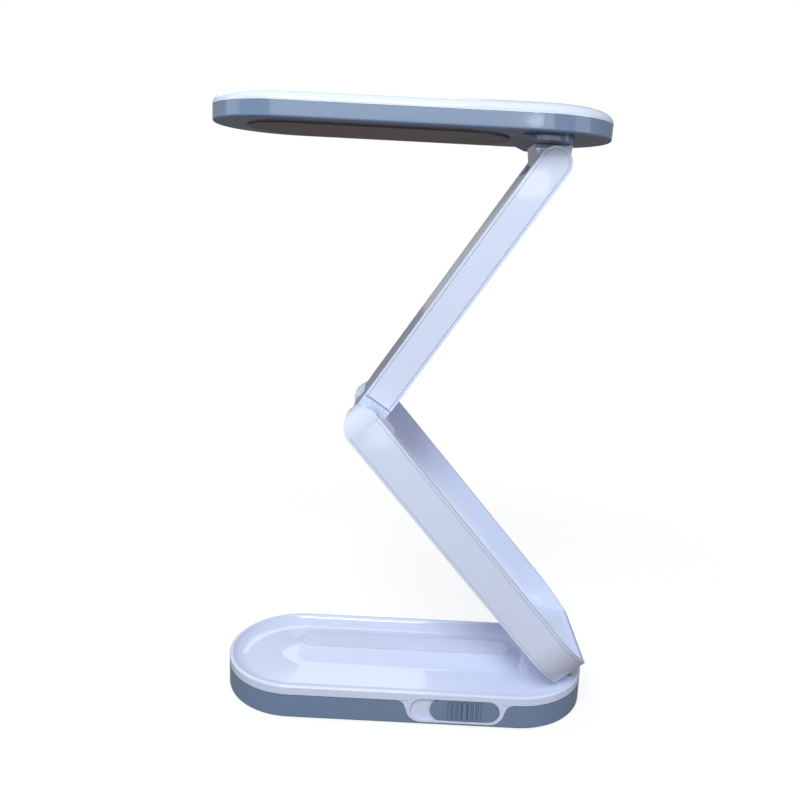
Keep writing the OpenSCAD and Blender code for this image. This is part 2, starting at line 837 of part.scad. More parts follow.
// Pin of the middle hinge
module mid_hinge_pin() {
    color(steel_colour) on_lower_arm() translate([-lower_length, 0, 0])
        crosswise(pin_radius, -mid_pin_reach, mid_pin_reach);
}

// Friction washers between the ears and the upper arm
module mid_hinge_washers() {
    color(dark_colour) on_lower_arm() translate([-lower_length, 0, 0]) both_sides()
        washer(pin_radius, washer_radius, ear_face - join_gap - washer_thickness);
}

// Upper arm

// Outline of the side trims, round about the head hinge, drawn in by an inset
module trim_outline(inset) {
    height = upper_thickness - 2 * (flange_depth + inset);
    intersection() {
        translate([upper_length / 2, 0]) bar_outline(upper_length + height, height);
        translate([trim_start + inset, -upper_thickness]) square([2 * upper_length, 2 * upper_thickness]);
    }
}

// Structural box of the upper arm with its knuckle and its fork
module upper_arm_shell() {
    color(white_colour) on_upper_arm() difference() {
        across(-upper_side, upper_side) translate([upper_length / 2, 0])
            bar_outline(upper_length + upper_thickness, upper_thickness);
        translate([trim_start, -upper_width, upper_half - flange_depth])
            cube([cover_end - trim_start, 2 * upper_width, upper_thickness]);
        both_sides() across(inner_side, upper_width) trim_outline(0);
        both_sides() difference() {
            translate([-upper_thickness, inner_side, -upper_thickness])
                cube([upper_thickness + trim_start, upper_width, 2 * upper_thickness]);
            crosswise(knuckle_boss_radius, inner_side - past, knuckle_boss_side);
        }
        difference() {
            translate([box_start, -inner_side + upper_wall, -upper_half + upper_wall])
                cube([box_end - box_start, 2 * (inner_side - upper_wall), upper_thickness]);
            for (p = upper_screws) translate([p.x, p.y, -upper_half])
                cylinder(d = small_screw_head + 2 * screw_post_wall, h = upper_thickness - flange_depth);
        }
        translate([upper_length - fork_depth, -fork_side, -upper_thickness])
            cube([upper_length, 2 * fork_side, 2 * upper_thickness]);
        crosswise(pin_radius + pin_clearance, -upper_width, upper_width);
        translate([upper_length, 0, 0])
            crosswise(pin_radius + pin_clearance, -head_pin_reach - bore_end, head_pin_reach + bore_end);
        for (p = upper_screws) translate([p.x, p.y, -upper_half])
            screw_hole(small_screw_size, small_screw_head, upper_screw_length);
    }
}

// Long cover of the upper arm
module upper_arm_cover() {
    color(white_colour) on_upper_arm() difference() {
        translate([trim_start, -upper_side, upper_half - flange_depth])
            cube([cover_end - trim_start, upper_width, flange_depth]);
        for (p = upper_screws) translate([p.x, p.y, -upper_half])
            screw_hole(small_screw_size, small_screw_head, upper_screw_length);
    }
}

// Side trim of the upper arm, with a fine step along its edges
module upper_arm_rear_trim() {
    color(white_colour) on_upper_arm() {
        across(inner_side, upper_side - groove_depth) trim_outline(0);
        across(upper_side - groove_depth - touch, upper_side) trim_outline(groove_width);
    }
}

// The same trim on the near side
module upper_arm_front_trim() {
    mirror([0, 1, 0]) upper_arm_rear_trim();
}

// Screws that hold the cover of the upper arm
module upper_arm_screws() {
    color(steel_colour) on_upper_arm() for (p = upper_screws) translate([p.x, p.y, -upper_half])
        screw(small_screw_size, small_screw_head, upper_screw_length);
}

// Pair of wires inside the upper arm
module upper_arm_lead() {
    color(dark_colour) on_upper_arm() both_sides()
        translate([box_start + fit_gap, lead_place, -upper_half + upper_wall + lead_radius + touch])
        rotate([0, 90, 0]) cylinder(r = lead_radius, h = box_end - box_start - 2 * fit_gap);
}

// Pin of the head hinge
module head_hinge_pin() {
    color(steel_colour) on_upper_arm() translate([upper_length, 0, 0])
        crosswise(pin_radius, -head_pin_reach, head_pin_reach);
}

// Friction washers between the fork and the hinge block
module head_hinge_washers() {
    color(dark_colour) on_upper_arm() translate([upper_length, 0, 0]) both_sides()
        washer(pin_radius, washer_radius, fork_side - join_gap - washer_thickness);
}

// Head

// White block that hangs the head on the upper arm
module head_hinge_block() {
    color(white_colour) on_head() difference() {
        union() {
            crosswise(block_radius, -block_width / 2, block_width / 2);
            across(-block_width / 2, block_width / 2) polygon([[-block_radius, 0],
                [-block_length / 2, boss_bottom], [block_length / 2, boss_bottom], [block_radius, 0]]);
            translate([-tenon_length / 2, -tenon_width / 2, 0])
                cube([tenon_length, tenon_width, border_top + tenon_rise]);
        }
        crosswise(pin_radius + pin_clearance, -block_width, block_width);
    }
}

// Plan of the boss under the head
module boss_plan() {
    half = (boss_right - boss_left) / 2;
    translate([boss_left + half, 0]) {
        square([2 * half, 2 * (boss_side - boss_corner)], center = true);
        square([2 * (half - boss_corner), 2 * boss_side], center = true);
        for (x = [-1, 1]) for (y = [-1, 1])
            translate([x * (half - boss_corner), y * (boss_side - boss_corner)]) circle(boss_corner);
    }
}

// Grey frame of the head: the band, the border around the diffuser and the hinge boss
module head_frame() {
    inner = head_radius - head_wall;
    color(grey_colour) on_head() difference() {
        union() {
            translate([-head_offset, 0, 0]) difference() {
                long_solid(head_span, concat([[0, band_bottom]],
                    arc(head_radius - band_round, band_bottom + band_round, band_round, -90, 0),
                    [[head_radius, band_top], [0, band_top]]));
                long_plate(head_length - 2 * head_wall, 2 * inner, border_top, band_top + past);
            }
            intersection() {
                across(-boss_side, boss_side) polygon([[boss_left, border_top], [boss_left, band_bottom],
                    [boss_left + boss_slope, boss_bottom], [boss_right - boss_step, boss_bottom],
                    [boss_right, boss_bottom + boss_step], [boss_right, border_top]]);
                translate([0, 0, boss_bottom - past]) linear_extrude(border_top) boss_plan();
            }
        }
        translate([diffuser_place, 0, 0]) long_plate(diffuser_length + 2 * join_gap,
            diffuser_width + 2 * join_gap, band_bottom - past, border_top + past);
        translate([-tenon_length / 2 - join_gap, -tenon_width / 2 - join_gap, 0])
            cube([tenon_length + 2 * join_gap, tenon_width + 2 * join_gap, band_top]);
        for (x = head_screw_x) translate([x, 0, band_bottom])
            screw_hole(small_screw_size, small_screw_head, border_skin);
    }
}

// White cover of the head with its bevelled shoulder, lip and posts
module head_top_cover() {
    inner = head_radius - head_wall;
    shoulder_height = band_top + shoulder_rise;
    ceiling = cover_top - head_wall;
    lip_inner = inner - join_gap - lip_wall;
    color(white_colour) on_head() difference() {
        union() {
            translate([-head_offset, 0, 0]) difference() {
                long_solid(head_span, concat([[0, band_top], [head_radius - groove_depth, band_top],
                    [head_radius - groove_depth, band_top + groove_width],
                    [head_radius, band_top + groove_width]],
                    [for (a = [0 : 11.25 : 90]) [head_radius - cover_shoulder * (1 - cos(a)),
                        shoulder_height + (cover_top - shoulder_height) * sin(a)]], [[0, cover_top]]));
                long_solid(head_span, [[0, band_top - past], [lip_inner, band_top - past],
                    [lip_inner, shoulder_height], [inner - cover_shoulder, ceiling], [0, ceiling]]);
            }
            translate([-head_offset, 0, 0]) difference() {
                long_plate(head_length - 2 * (head_wall + join_gap), 2 * (inner - join_gap),
                    band_top - lip_depth, band_top + touch);
                long_plate(head_span + 2 * lip_inner, 2 * lip_inner, band_top - lip_depth - past,
                    band_top + past);
            }
            for (x = head_screw_x) translate([x, 0, border_top])
                cylinder(d = small_screw_head + 2 * screw_post_wall, h = ceiling - border_top + touch);
            for (x = [-1, 1]) for (y = [-1, 1])
                translate([diffuser_place + x * diffuser_length / 3, y * diffuser_width / 4,
                    led_board_bottom + board_thickness])
                cylinder(r = board_leg_radius, h = ceiling - led_board_bottom - board_thickness + touch);
        }
        for (x = head_screw_x) translate([x, 0, band_bottom])
            cylinder(d = small_screw_size + 2 * pin_clearance, h = head_screw_length + fit_gap);
    }
}

// Frosted diffuser with its flange inside the frame
module diffuser() {
    color([0.93, 0.93, 0.92]) on_head() translate([diffuser_place, 0, 0]) {
        long_plate(diffuser_length, diffuser_width, band_bottom - diffuser_proud, border_top + touch);
        long_plate(diffuser_length + 2 * diffuser_flange, diffuser_width + 2 * diffuser_flange,
            border_top, border_top + diffuser_skin);
    }
}

// Board that carries the diodes
module led_board() {
    color(green_colour) on_head() translate([diffuser_place, 0, 0])
        long_plate(diffuser_length - 2 * led_board_margin, diffuser_width - 2 * led_board_margin,
            led_board_bottom, led_board_bottom + board_thickness);
}

// Rows of light-emitting diodes under the board
module leds() {
    color([0.95, 0.9, 0.6]) on_head() for (i = [0 : led_columns - 1]) for (j = [0 : led_rows - 1])
        translate([diffuser_place + (i - (led_columns - 1) / 2) * led_pitch - led_size / 2,
            (j - (led_rows - 1) / 2) * led_row_pitch - led_size / 2, led_board_bottom - led_height])
            cube([led_size, led_size, led_height]);
}

// Screws that hold the head cover
module head_screws() {
    color(steel_colour) on_head() for (x = head_screw_x) translate([x, 0, band_bottom])
        screw(small_screw_size, small_screw_head, head_screw_length);
}

// Pair of wires from the hinge block to the board
module head_lead() {
    start = diffuser_place + diffuser_length / 2 - led_board_margin + join_gap;
    color(dark_colour) on_head() translate([start, 0, led_board_bottom + board_thickness / 2])
        rotate([0, 90, 0]) cylinder(r = lead_radius, h = -tenon_length / 2 - start - join_gap);
}

base_pad();
base_bottom_shell();
base_top_shell();
base_screws();
battery();
control_board();
slide_switch();
switch_lever();
switch_slider();
charging_socket();
base_hinge_bracket();
base_hinge_pin();
base_hinge_washers();
lower_arm_tub();
lower_arm_back();
lower_arm_screws();
lower_arm_lead();
mid_hinge_pin();
mid_hinge_washers();
upper_arm_shell();
upper_arm_cover();
upper_arm_front_trim();
upper_arm_rear_trim();
upper_arm_screws();
upper_arm_lead();
head_hinge_pin();
head_hinge_washers();
head_hinge_block();
head_frame();
head_top_cover();
diffuser();
led_board();
leds();
head_screws();
head_lead();
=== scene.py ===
"""Looks of a folding desk lamp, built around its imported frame."""

import math

import bmesh
import bpy
from bpy.props import FloatProperty, FloatVectorProperty, PointerProperty
from mathutils import Matrix, Vector


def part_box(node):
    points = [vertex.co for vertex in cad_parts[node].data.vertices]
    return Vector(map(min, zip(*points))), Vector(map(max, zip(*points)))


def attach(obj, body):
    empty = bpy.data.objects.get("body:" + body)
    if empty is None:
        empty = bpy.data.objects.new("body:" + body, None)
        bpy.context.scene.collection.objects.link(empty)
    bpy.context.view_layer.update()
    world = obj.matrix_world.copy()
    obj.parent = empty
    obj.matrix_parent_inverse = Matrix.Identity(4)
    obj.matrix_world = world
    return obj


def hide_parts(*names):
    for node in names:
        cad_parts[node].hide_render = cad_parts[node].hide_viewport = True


bl_info = {
    "name": "Folding Desk Lamp",
    "version": (1, 0, 0),
    "blender": (4, 5, 0),
    "location": "View3D > Sidebar > Lamp",
    "description": "Dresses the frame of a folding desk lamp and lights it",
    "category": "Object",
}

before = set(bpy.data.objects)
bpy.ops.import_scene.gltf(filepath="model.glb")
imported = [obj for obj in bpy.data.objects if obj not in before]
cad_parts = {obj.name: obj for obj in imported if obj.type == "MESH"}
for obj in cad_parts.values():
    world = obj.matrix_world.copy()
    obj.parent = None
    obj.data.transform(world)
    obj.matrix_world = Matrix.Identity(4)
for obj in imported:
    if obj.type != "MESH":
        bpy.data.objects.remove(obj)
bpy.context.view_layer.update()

WHITE_NODES = (
    "base_top_shell",
    "lower_arm_tub",
    "lower_arm_back",
    "upper_arm_shell",
    "upper_arm_cover",
    "upper_arm_front_trim",
    "upper_arm_rear_trim",
    "head_hinge_block",
    "head_top_cover",
)
GREY_NODES = ("base_bottom_shell", "switch_slider", "head_frame")
STEEL_NODES = (
    "slide_switch",
    "charging_socket",
    "base_hinge_bracket",
    "base_hinge_pin",
    "mid_hinge_pin",
    "head_hinge_pin",
)
WASHER_NODES = ("base_hinge_washers", "mid_hinge_washers", "head_hinge_washers", "switch_lever")
LEAD_NODES = ("lower_arm_lead", "upper_arm_lead", "head_lead")
BOARD_NODES = ("control_board", "led_board")

# CAD node of the screws, the body they ride on, their tilt in degrees and their shaft's radius
SCREWS = (
    ("base_screws", "base", 0.0, 0.00125),
    ("lower_arm_screws", "lower_arm", 49.45, 0.0009),
    ("upper_arm_screws", "upper_arm", -56.1, 0.0009),
    ("head_screws", "head", 0.9, 0.0009),
)
SCREW_GAP = 0.008  # vertices further apart belong to different screws
RING_SIDES = 32

# A screw's shape, in shares of its head's radius and height, its shaft's radius and its pitch
HEAD_CHAMFER = 0.12
CROSS_REACH = 0.6
CROSS_HALF_WIDTH = 0.15
CROSS_TAPER = 0.75
CROSS_DEPTH = 0.6
THREAD_ROOT = 0.8
ROOT_HEIGHT = 0.15
CREST_HEIGHT = 0.55
SHAFT_TIP = 0.45

# The charging socket's tongue: shares of the socket's width and height, and lengths in metres
TONGUE_HALF_WIDTH = 0.32
TONGUE_HALF_HEIGHT = 0.14
TONGUE_INSET = 0.0009
TONGUE_CHAMFER = 0.00015
CONTACTS = 6
CONTACT_HALF_WIDTH = 0.28
CONTACT_START = 0.0004
CONTACT_END = 0.0003
CONTACT_HEIGHT = 0.00004
CONTACT_CHAMFER = 0.00001

# Rounded edges of the shells
WELD_DISTANCE = 0.000005
EDGE_SEGMENTS = 2
EDGE_ANGLE = math.radians(32)
NORMAL_WEIGHT = 80

# How far the shade in a crease reaches, and how dark it is on white and on grey plastic
CREASE_REACH = 0.0011
WHITE_CREASE = 0.72
GREY_CREASE = 0.12

PURE_WHITE = (1.0, 1.0, 1.0, 1.0)
DARK_NYLON = (0.02, 0.02, 0.022)


class LampColours(bpy.types.PropertyGroup):
    """Colours of the lamp's finishes"""

    white: FloatVectorProperty(
        name="White plastic",
        description="Shells, arms and head cover",
        subtype="COLOR",
        default=(0.70, 0.755, 0.95),
        min=0,
        max=1,
    )
    grey: FloatVectorProperty(
        name="Grey plastic",
        description="Lower base shell, slider and head band",
        subtype="COLOR",
        default=(0.185, 0.255, 0.39),
        min=0,
        max=1,
    )
    # Painted shade: the milky white panel gets a dark brown colour that stands in for the shade
    # under the head.
    diffuser: FloatVectorProperty(
        name="Diffuser",
        description="Unlit light panel under the head",
        subtype="COLOR",
        default=(0.16, 0.125, 0.115),
        min=0,
        max=1,
    )
    rubber: FloatVectorProperty(
        name="Rubber",
        description="Pad under the base",
        subtype="COLOR",
        default=(0.03, 0.03, 0.033),
        min=0,
        max=1,
    )
    steel: FloatVectorProperty(
        name="Steel",
        description="Pins, screws and bracket",
        subtype="COLOR",
        default=(0.55, 0.56, 0.58),
        min=0,
        max=1,
    )
    board: FloatVectorProperty(
        name="Circuit board",
        description="Solder mask of both boards",
        subtype="COLOR",
        default=(0.02, 0.12, 0.05),
        min=0,
        max=1,
    )


class LampSizes(bpy.types.PropertyGroup):
    """Sizes of the details that the frame leaves open"""

    edge_radius: FloatProperty(
        name="Edge radius",
        description="Rounding of the plastic shells' edges",
        unit="LENGTH",
        default=0.00035,
        min=0.0001,
        max=0.0008,
    )
    grain: FloatProperty(
        name="Moulding grain",
        description="Size of the faint waviness of the moulded surfaces",
        unit="LENGTH",
        default=0.006,
        min=0.0004,
        max=0.01,
    )
    head_height: FloatProperty(
        name="Screw head height",
        description="Height of every screw's head",
        unit="LENGTH",
        default=0.0012,
        min=0.0005,
        max=0.002,
    )
    thread_pitch: FloatProperty(
        name="Thread pitch",
        description="Distance between the threads of the screws",
        unit="LENGTH",
        default=0.0006,
        min=0.0003,
        max=0.001,
    )


class LampStudio(bpy.types.PropertyGroup):
    """Camera and light of the studio"""

    camera_place: FloatVectorProperty(
        name="Camera place",
        description="Where the photograph was taken from",
        subtype="XYZ",
        unit="LENGTH",
        default=(0.000366, -0.394314, 0.254653),
    )
    yaw: FloatProperty(
        name="Yaw",
        description="Turn to the right",
        unit="ROTATION",
        default=-0.021,
    )
    pitch: FloatProperty(
        name="Pitch",
        description="Tilt upwards",
        unit="ROTATION",
        default=-0.224,
    )
    roll: FloatProperty(
        name="Roll",
        description="Roll of the camera",
        unit="ROTATION",
        default=0.038,
    )
    lens: FloatProperty(
        name="Lens",
        description="Focal length in millimetres",
        default=34.663,
        min=20,
        max=200,
    )
    ambient: FloatProperty(
        name="Ambient",
        description="Strength of the light from all round",
        default=0.34,
        min=0,
        max=2,
    )
    power: FloatProperty(
        name="Lamp power",
        description="Watts of the key light",
        default=4.7,
        min=0,
    )


# The floor's size, the distances between which it fades to white, and its light
FLOOR_RADIUS = 6.0
FLOOR_SIDES = 96
FLOOR_FADE = (0.16, 0.42)
FLOOR_GLOW = 0.8
FLOOR_LIT = (0.24, 0.245, 0.25)
FLOOR_BOUNCE = (0.3, 0.27, 0.26)

# Name, place, width and height, share of the key light's power, colour. The small panes are
# the windows and lamps mirrored in the gloss of the arms, the base and the head.
LIGHT_TARGET = (0.0, 0.0, 0.16)
LIGHTS = (
    ("Key", (-0.15, -0.6, 0.78), (0.4, 0.3), 1.0, (0.93, 1.0, 1.0)),
    ("Front", (0.0, -0.95, 0.47), (0.9, 0.16), 0.25, (0.93, 1.0, 1.0)),
    ("Fill", (0.85, -0.35, 0.4), (0.4, 0.6), 0.26, (0.95, 0.93, 1.0)),
    ("Left", (-0.85, -0.1, 0.55), (0.4, 0.4), 0.16, (0.95, 0.98, 1.0)),
    ("Back", (-0.3, 0.8, 0.8), (0.8, 0.4), 0.45, (0.96, 0.94, 1.0)),
    ("Left pane", (-0.13, -0.9, 0.95), (0.06, 0.06), 0.13, (1.0, 1.0, 1.0)),
    ("Middle pane", (0.03, -0.9, 0.95), (0.04, 0.06), 0.09, (1.0, 1.0, 1.0)),
    ("Right pane", (0.17, -0.9, 0.325), (0.05, 0.045), 0.005, (1.0, 1.0, 1.0)),
    ("Glint", (0.164, -0.9, 0.408), (0.01, 0.01), 0.004, (1.0, 1.0, 1.0)),
    ("Low pane", (-0.04, -0.549, 0.012), (0.03, 0.06), 0.003, (1.0, 1.0, 1.0)),
)


def shader_node(owner, kind, inputs=None, **settings):
    """Add one shader node to a material or world, with its inputs set or linked."""
    made = owner.node_tree.nodes.new(kind)
    for name, value in settings.items():
        setattr(made, name, value)
    for name, value in (inputs or {}).items():
        if isinstance(value, bpy.types.NodeSocket):
            owner.node_tree.links.new(value, made.inputs[name])
        else:
            made.inputs[name].default_value = value
    return made


def new_material(name):
    """A material without nodes."""
    material = bpy.data.materials.new(name)
    material.use_nodes = True
    material.node_tree.nodes.clear()
    return material


def finish_material(material, surface):
    """Connect the surface to the output."""
    shader_node(material, "ShaderNodeOutputMaterial", {"Surface": surface})
    return material


def tone(colour, factor):
    """A colour made lighter or darker, with full opacity."""
    return (*(min(1.0, channel * factor) for channel in colour), 1.0)


def object_place(material):
    """Coordinates in the object's own space."""
    return shader_node(material, "ShaderNodeTexCoord").outputs["Object"]


def noise(material, place, scale, detail, roughness=0.5):
    """Factor of a noise texture."""
    inputs = {"Vector": place, "Scale": scale, "Detail": detail, "Roughness": roughness}
    return shader_node(material, "ShaderNodeTexNoise", inputs).outputs["Fac"]


def remap(material, value, start, end, low=0.0, high=1.0, **settings):
    """Spread the values from low to high over the range from start to end."""
    inputs = {"Value": value, "From Min": low, "From Max": high, "To Min": start, "To Max": end}
    return shader_node(material, "ShaderNodeMapRange", inputs, **settings).outputs["Result"]


def blend(material, factor, first, second):
    """Mix two colours."""
    inputs = {"Factor": factor, "A": first, "B": second}
    return shader_node(material, "ShaderNodeMix", inputs, data_type="RGBA").outputs["Result"]


def raised(material, height, strength, distance):
    """Normals of a finely uneven surface."""
    inputs = {"Height": height, "Strength": strength, "Distance": distance}
    return shader_node(material, "ShaderNodeBump", inputs).outputs["Normal"]


def principled(material, inputs):
    """Finish a material with one principled surface."""
    surface = shader_node(material, "ShaderNodeBsdfPrincipled", inputs)
    return finish_material(material, surface.outputs["BSDF"])


def moulded_plastic(name, colour, roughness, wave, crease):
    """Moulded gloss plastic: faint waviness, slight mottling and shade in the creases."""
    material = new_material(name)
    place = object_place(material)
    mottle = noise(material, place, 14.0, 3.0, 0.55)
    shade = blend(material, mottle, tone(colour, 0.965), tone(colour, 1.035))
    # Painted shade: ambient occlusion darkens the colour towards the crease tone in creases,
    # grooves and between parts.
    hollow = shader_node(
        material, "ShaderNodeAmbientOcclusion", {"Distance": CREASE_REACH}, samples=16
    )
    open_share = remap(material, hollow.outputs["AO"], 0.0, 1.0, 0.25, 0.85)
    painted_crease_shade = blend(material, open_share, tone(colour, crease), shade)
    grain = noise(material, place, 1.0 / wave, 2.0, 0.4)
    polish = remap(material, mottle, roughness * 0.88, roughness * 1.12, 0.3, 0.7)
    normals = raised(material, grain, 0.1, 0.0001)
    return principled(
        material, {"Base Color": painted_crease_shade, "Roughness": polish, "IOR": 1.49, "Normal": normals}
    )


def metal(name, colour, roughness):
    """Drawn steel: fine streaks along the part."""
    material = new_material(name)
    stretch = shader_node(
        material,
        "ShaderNodeMapping",
        {"Vector": object_place(material), "Scale": (3000.0, 120.0, 3000.0)},
    )
    streaks = noise(material, stretch.outputs["Vector"], 1.0, 2.0)
    shade = blend(material, streaks, tone(colour, 0.85), tone(colour, 1.1))
    polish = remap(material, streaks, roughness * 0.8, roughness * 1.3)
    return principled(material, {"Base Color": shade, "Metallic": 1.0, "Roughness": polish})


def speckled(name, colour, roughness, grain, depth):
    """Matte moulding or rubber with a fine grain."""
    material = new_material(name)
    cells = noise(material, object_place(material), 1.0 / grain, 4.0)
    shade = blend(material, cells, tone(colour, 0.8), tone(colour, 1.2))
    normals = raised(material, cells, 0.5, depth)
    return principled(material, {"Base Color": shade, "Roughness": roughness, "Normal": normals})


def dress(name, material, radius=0.0):
    """Give a CAD node its material and, where asked, softly rounded edges."""
    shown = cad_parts[name]
    shown.data.materials.clear()
    shown.data.materials.append(material)
    if radius > 0:
        weld = shown.modifiers.new("Weld", "WELD")
        weld.merge_threshold = WELD_DISTANCE
        bevel = shown.modifiers.new("Edges", "BEVEL")
        bevel.width = radius
        bevel.segments = EDGE_SEGMENTS
        bevel.limit_method = "ANGLE"
        bevel.angle_limit = EDGE_ANGLE
        bevel.use_clamp_overlap = True
        bevel.harden_normals = False
        normals = shown.modifiers.new("Normals", "WEIGHTED_NORMAL")
        normals.keep_sharp = False
        normals.weight = NORMAL_WEIGHT


def screw_places(node, axis):
    """Middle of the head's face, head radius and length of each screw in a CAD node."""
    side = axis.cross(Vector((0.0, 1.0, 0.0)))
    groups = []
    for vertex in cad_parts[node].data.vertices:
        place = Vector((vertex.co.dot(side), vertex.co.y, vertex.co.dot(axis)))
        near = [group for group in groups if (group[0] - place).xy.length < SCREW_GAP]
        if near:
            near[0].append(place)
        else:
            groups.append([place])
    if not groups:
        raise RuntimeError(f"no screws found in {node}")
    found = []
    for group in groups:
        low = Vector(min(place[i] for place in group) for i in range(3))
        high = Vector(max(place[i] for place in group) for i in range(3))
        middle = (low + high) / 2
        face = side * middle.x + Vector((0.0, middle.y, 0.0)) + axis * low.z
        found.append((face, (high.y - low.y) / 2, high.z - low.z))
    return found


def add_ring(made, turn, face, radius, height):
    """Vertices of one ring of a screw."""
    ring = []
    for i in range(RING_SIDES):
        angle = math.tau * i / RING_SIDES
        point = Vector((radius * math.cos(angle), radius * math.sin(angle), height))
        ring.append(made.verts.new(face + turn @ point))
    return ring


def join_rings(made, first, second):
    """Faces between two rings of equally many vertices."""
    for i in range(len(first)):
        j = (i + 1) % len(first)
        made.faces.new((first[i], first[j], second[j], second[i]))


def add_screw(made, turn, face, head_radius, length, shaft, sizes):
    """A screw with a cross recess in its head and a threaded shaft with a blunt tip."""
    head, pitch = sizes.head_height, sizes.thread_pitch
    chamfer = head_radius * HEAD_CHAMFER
    profile = [(head_radius - chamfer, 0.0), (head_radius, chamfer), (head_radius, head)]
    height = head
    while height < length - 2 * pitch:
        profile.append((shaft * THREAD_ROOT, height + pitch * ROOT_HEIGHT))
        profile.append((shaft, height + pitch * CREST_HEIGHT))
        height += pitch
    profile.append((shaft * THREAD_ROOT, length - pitch))
    profile.append((shaft * SHAFT_TIP, length))
    rings = [add_ring(made, turn, face, radius, level) for radius, level in profile]
    for first, second in zip(rings, rings[1:]):
        join_rings(made, first, second)
    made.faces.new(rings[-1])

    reach, width = head_radius * CROSS_REACH, head_radius * CROSS_HALF_WIDTH
    corner = ((reach, -width), (reach, width), (width, width))
    quarters = [Matrix.Rotation(math.pi / 2 * i, 2) for i in range(4)]
    cross = [quarter @ Vector(point) for quarter in quarters for point in corner]
    mouth = [made.verts.new(face + turn @ Vector((*point, 0.0))) for point in cross]
    narrowed = [Vector((*(point * CROSS_TAPER), head * CROSS_DEPTH)) for point in cross]
    floor = [made.verts.new(face + turn @ point) for point in narrowed]
    join_rings(made, mouth, floor)
    made.faces.new(floor)
    edges = []
    for ring in (rings[0], mouth):
        edges += [made.edges.get((ring[i - 1], ring[i])) for i in range(len(ring))]
    bmesh.ops.triangle_fill(made, use_beauty=True, edges=edges)


def finish_piece(made, name, materials, body):
    """Turn built geometry into a piece that rides on a body."""
    bmesh.ops.recalc_face_normals(made, faces=made.faces)
    mesh = bpy.data.meshes.new(name)
    made.to_mesh(mesh)
    made.free()
    for material in materials:
        mesh.materials.append(material)
    piece = bpy.data.objects.new(name, mesh)
    bpy.context.scene.collection.objects.link(piece)
    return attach(piece, body)


def add_block(made, low, high, chamfer, material):
    """A block whose edges towards +Y are chamfered."""
    rings = []
    for y, inset in ((low.y, 0.0), (high.y - chamfer, 0.0), (high.y, chamfer)):
        left, right, bottom, top = low.x + inset, high.x - inset, low.z + inset, high.z - inset
        corners = ((left, bottom), (right, bottom), (right, top), (left, top))
        rings.append([made.verts.new((x, y, z)) for x, z in corners])
    before = set(made.faces)
    for first, second in zip(rings, rings[1:]):
        join_rings(made, first, second)
    made.faces.new(rings[0])
    made.faces.new(rings[-1])
    for face in set(made.faces) - before:
        face.material_index = material


class LAMP_OT_screws(bpy.types.Operator):
    """Screws with cross recesses in place of the frame's plain ones"""

    bl_idname = "lamp.screws"
    bl_label = "Screws"

    def execute(self, context):
        steel = metal("Zinc plated steel", context.scene.lamp_colours.steel, 0.26)
        for node, body, tilt, shaft in SCREWS:
            angle = math.radians(tilt)
            axis = Vector((math.sin(angle), 0.0, math.cos(angle)))
            turn = Matrix.Rotation(angle, 3, "Y")
            made = bmesh.new()
            for face, radius, length in screw_places(node, axis):
                add_screw(made, turn, face, radius, length, shaft, context.scene.lamp_sizes)
            piece = finish_piece(made, f"{node}_threaded", (steel,), body)
            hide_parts(node)
        return {"FINISHED"}


class LAMP_OT_socket(bpy.types.Operator):
    """Contact tongue inside the charging socket"""

    bl_idname = "lamp.socket"
    bl_label = "Socket tongue"

    def execute(self, context):
        low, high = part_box("charging_socket")
        middle = (low + high) / 2
        half_width = (high.x - low.x) * TONGUE_HALF_WIDTH
        half_height = (high.z - low.z) * TONGUE_HALF_HEIGHT
        back, front = low.y + TONGUE_INSET, high.y - TONGUE_INSET
        made = bmesh.new()
        tongue_low = Vector((middle.x - half_width, back, middle.z - half_height))
        tongue_high = Vector((middle.x + half_width, front, middle.z + half_height))
        add_block(made, tongue_low, tongue_high, TONGUE_CHAMFER, 0)
        pitch = 2 * half_width / (CONTACTS + 1)
        half_strip = pitch * CONTACT_HALF_WIDTH
        sides = ((-CONTACT_HEIGHT, 0.0), (2 * half_height, 2 * half_height + CONTACT_HEIGHT))
        for i in range(CONTACTS):
            x = middle.x + (i - (CONTACTS - 1) / 2) * pitch
            for bottom, top in sides:
                strip_low = Vector((x - half_strip, back + CONTACT_START, tongue_low.z + bottom))
                strip_high = Vector((x + half_strip, front - CONTACT_END, tongue_low.z + top))
                add_block(made, strip_low, strip_high, CONTACT_CHAMFER, 1)
        dark = speckled("Socket nylon", DARK_NYLON, 0.45, 0.0004, 0.00001)
        gold = metal("Gold contacts", (0.83, 0.6, 0.2), 0.25)
        finish_piece(made, "socket_tongue", (dark, gold), "base")
        return {"FINISHED"}


class LAMP_OT_shells(bpy.types.Operator):
    """White and grey plastic shells of the base, the arms and the head"""

    bl_idname = "lamp.shells"
    bl_label = "Plastic shells"

    def execute(self, context):
        colours, sizes = context.scene.lamp_colours, context.scene.lamp_sizes
        white = moulded_plastic(
            "White gloss plastic", colours.white, 0.06, sizes.grain, WHITE_CREASE
        )
        grey = moulded_plastic("Grey gloss plastic", colours.grey, 0.1, sizes.grain, GREY_CREASE)
        for name in WHITE_NODES:
            dress(name, white, sizes.edge_radius)
        for name in GREY_NODES:
            dress(name, grey, sizes.edge_radius)
        return {"FINISHED"}


class LAMP_OT_metalwork(bpy.types.Operator):
    """Pins, bracket, switch, socket and washers"""

    bl_idname = "lamp.metalwork"
    bl_label = "Metalwork"

    def execute(self, context):
        steel = metal("Drawn steel", context.scene.lamp_colours.steel, 0.3)
        dark = speckled("Dark nylon", DARK_NYLON, 0.5, 0.0008, 0.00003)
        for name in STEEL_NODES:
            dress(name, steel)
        for name in WASHER_NODES:
            dress(name, dark)
        return {"FINISHED"}


class LAMP_OT_pad(bpy.types.Operator):
    """Rubber pad under the base"""

    bl_idname = "lamp.pad"
    bl_label = "Rubber pad"

    def execute(self, context):
        rubber = speckled("Foam rubber", context.scene.lamp_colours.rubber, 0.85, 0.0006, 0.0001)
        dress("base_pad", rubber)
        return {"FINISHED"}


